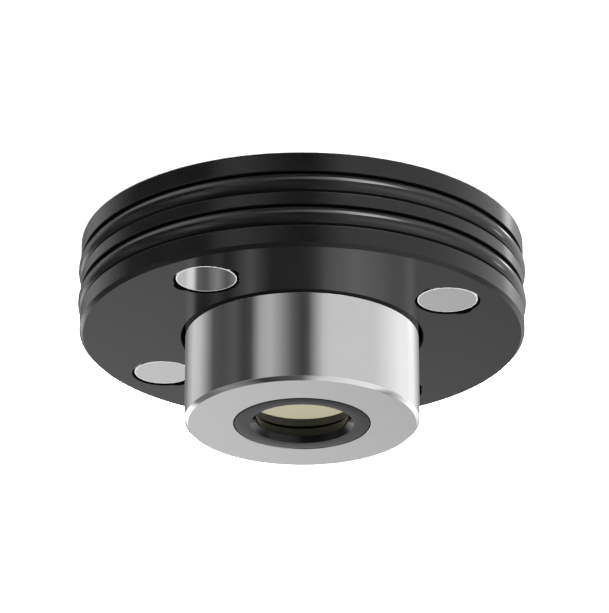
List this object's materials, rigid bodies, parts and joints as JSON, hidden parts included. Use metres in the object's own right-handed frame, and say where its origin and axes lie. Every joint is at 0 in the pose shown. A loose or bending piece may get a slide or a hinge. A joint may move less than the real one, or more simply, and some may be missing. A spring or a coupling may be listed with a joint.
{
  "type": "laser collimator",
  "caption": "Black round flange with rubber rings for a two-inch drawtube, magnets in its face and a polished nose that holds a tiltable laser behind a window.",
  "frame": {"origin": "centre of the flat rear face, on the surface that the part stands on", "axes": "+Z is the beam's direction, from the rear face out through the nose; X and Y are in the plane of the rear face"},
  "size_m": [0.051, 0.051, 0.0216],
  "materials": {
    "black_anodised": "black anodised, semi-gloss",
    "black_cover": "black anodised, satin",
    "black_cap": "black anodised, satin",
    "black_cell": "black anodised, fine turned",
    "gloss_black": "gloss black",
    "polished_steel": "polished stainless steel with a fine turned grain",
    "magnet_plating": "nickel plated",
    "o_ring_rubber": "shiny nitrile rubber",
    "soft_rubber": "matt rubber",
    "coated_glass": "coated glass, pale cream reflection",
    "clear_lens": "polished",
    "brass": "turned",
    "diode_can": "gold plated",
    "spring_steel": "spring wire",
    "screw_steel": "black oxide",
    "adjuster_steel": "stainless",
    "battery_steel": "nickel plated",
    "contact_plating": "gold flash",
    "holder_plastic": "moulded",
    "board_laminate": "solder mask",
    "chip_resin": "moulded resin",
    "capacitor_ceramic": "ceramic",
    "switch_plastic": "moulded",
    "button_plastic": "moulded, satin",
    "red_insulation": "insulation",
    "black_insulation": "insulation"
  },
  "bodies": {
    "flange": {"flange_body": "black_anodised", "front_o_ring": "o_ring_rubber", "rear_o_ring": "o_ring_rubber", "magnet_1": "magnet_plating", "magnet_2": "magnet_plating", "magnet_3": "magnet_plating", "magnet_4": "magnet_plating", "rear_cover": "black_cover", "cover_screws": "screw_steel", "battery_cell": "battery_steel", "battery_holder": "holder_plastic", "negative_contact": "contact_plating", "driver_board": "board_laminate", "board_screws": "screw_steel", "driver_chip": "chip_resin", "smoothing_capacitor": "capacitor_ceramic", "resistors": "chip_resin", "switch_body": "switch_plastic", "red_wire": "red_insulation", "black_wire": "black_insulation"},
    "tilt_ring": {"tilt_ring": "soft_rubber"},
    "laser_head": {"laser_barrel": "polished_steel", "window_cell": "black_cell", "window_spacer": "gloss_black", "front_window": "coated_glass", "window_retainer": "black_cell", "module_housing": "brass", "laser_diode": "diode_can", "focus_spring": "spring_steel", "lens_holder": "brass", "collimating_lens": "clear_lens", "module_clamp_ring": "black_cell"},
    "battery_cap": {"battery_cap": "black_cap", "cap_gasket": "soft_rubber", "positive_contact": "contact_plating"},
    "power_button": {"power_button": "button_plastic", "switch_plunger": "chip_resin"},
    "adjusting_screw_1": {"adjusting_screw_1": "adjuster_steel"},
    "adjusting_screw_2": {"adjusting_screw_2": "adjuster_steel"},
    "adjusting_screw_3": {"adjusting_screw_3": "adjuster_steel"}
  },
  "joints": [
    {"name": "head_tilt_x", "type": "hinge", "parent": "flange", "child": "tilt_ring", "pos_m": [0, 0, 0.00658], "axis": [1, 0, 0], "range_deg": [-0.8, 0.8], "deforming": ["tilt_ring"]},
    {"name": "head_tilt_y", "type": "hinge", "parent": "tilt_ring", "child": "laser_head", "pos_m": [0, 0, 0.00658], "axis": [0, 1, 0], "range_deg": [-0.8, 0.8]},
    {"name": "battery_cap_turn", "type": "hinge", "parent": "flange", "child": "battery_cap", "pos_m": [0, 0, 0.001], "axis": [0, 0, 1], "range_deg": [0, 60]},
    {"name": "power_button_press", "type": "slide", "parent": "flange", "child": "power_button", "axis": [0, 0, 1], "range_m": [0, 0.0003], "stiffness_N_per_m": 500, "springref_m": -0.0004},
    {"name": "adjusting_screw_1_turn", "type": "hinge", "parent": "flange", "child": "adjusting_screw_1", "pos_m": [0, 0.015, 0.0023], "axis": [0, 0, 1], "range_deg": [-227, 227]},
    {"name": "adjusting_screw_2_turn", "type": "hinge", "parent": "flange", "child": "adjusting_screw_2", "pos_m": [-0.01299, -0.0075, 0.0023], "axis": [0, 0, 1], "range_deg": [-131, 131]},
    {"name": "adjusting_screw_3_turn", "type": "hinge", "parent": "flange", "child": "adjusting_screw_3", "pos_m": [0.01299, -0.0075, 0.0023], "axis": [0, 0, 1], "range_deg": [-131, 131]}
  ],
  "couplings": [
    {"joint": "adjusting_screw_1_turn", "follows": "head_tilt_x", "ratio": 282.74},
    {"joint": "adjusting_screw_2_turn", "follows": "head_tilt_y", "ratio": 163.24},
    {"joint": "adjusting_screw_3_turn", "follows": "head_tilt_y", "ratio": -163.24}
  ]
}
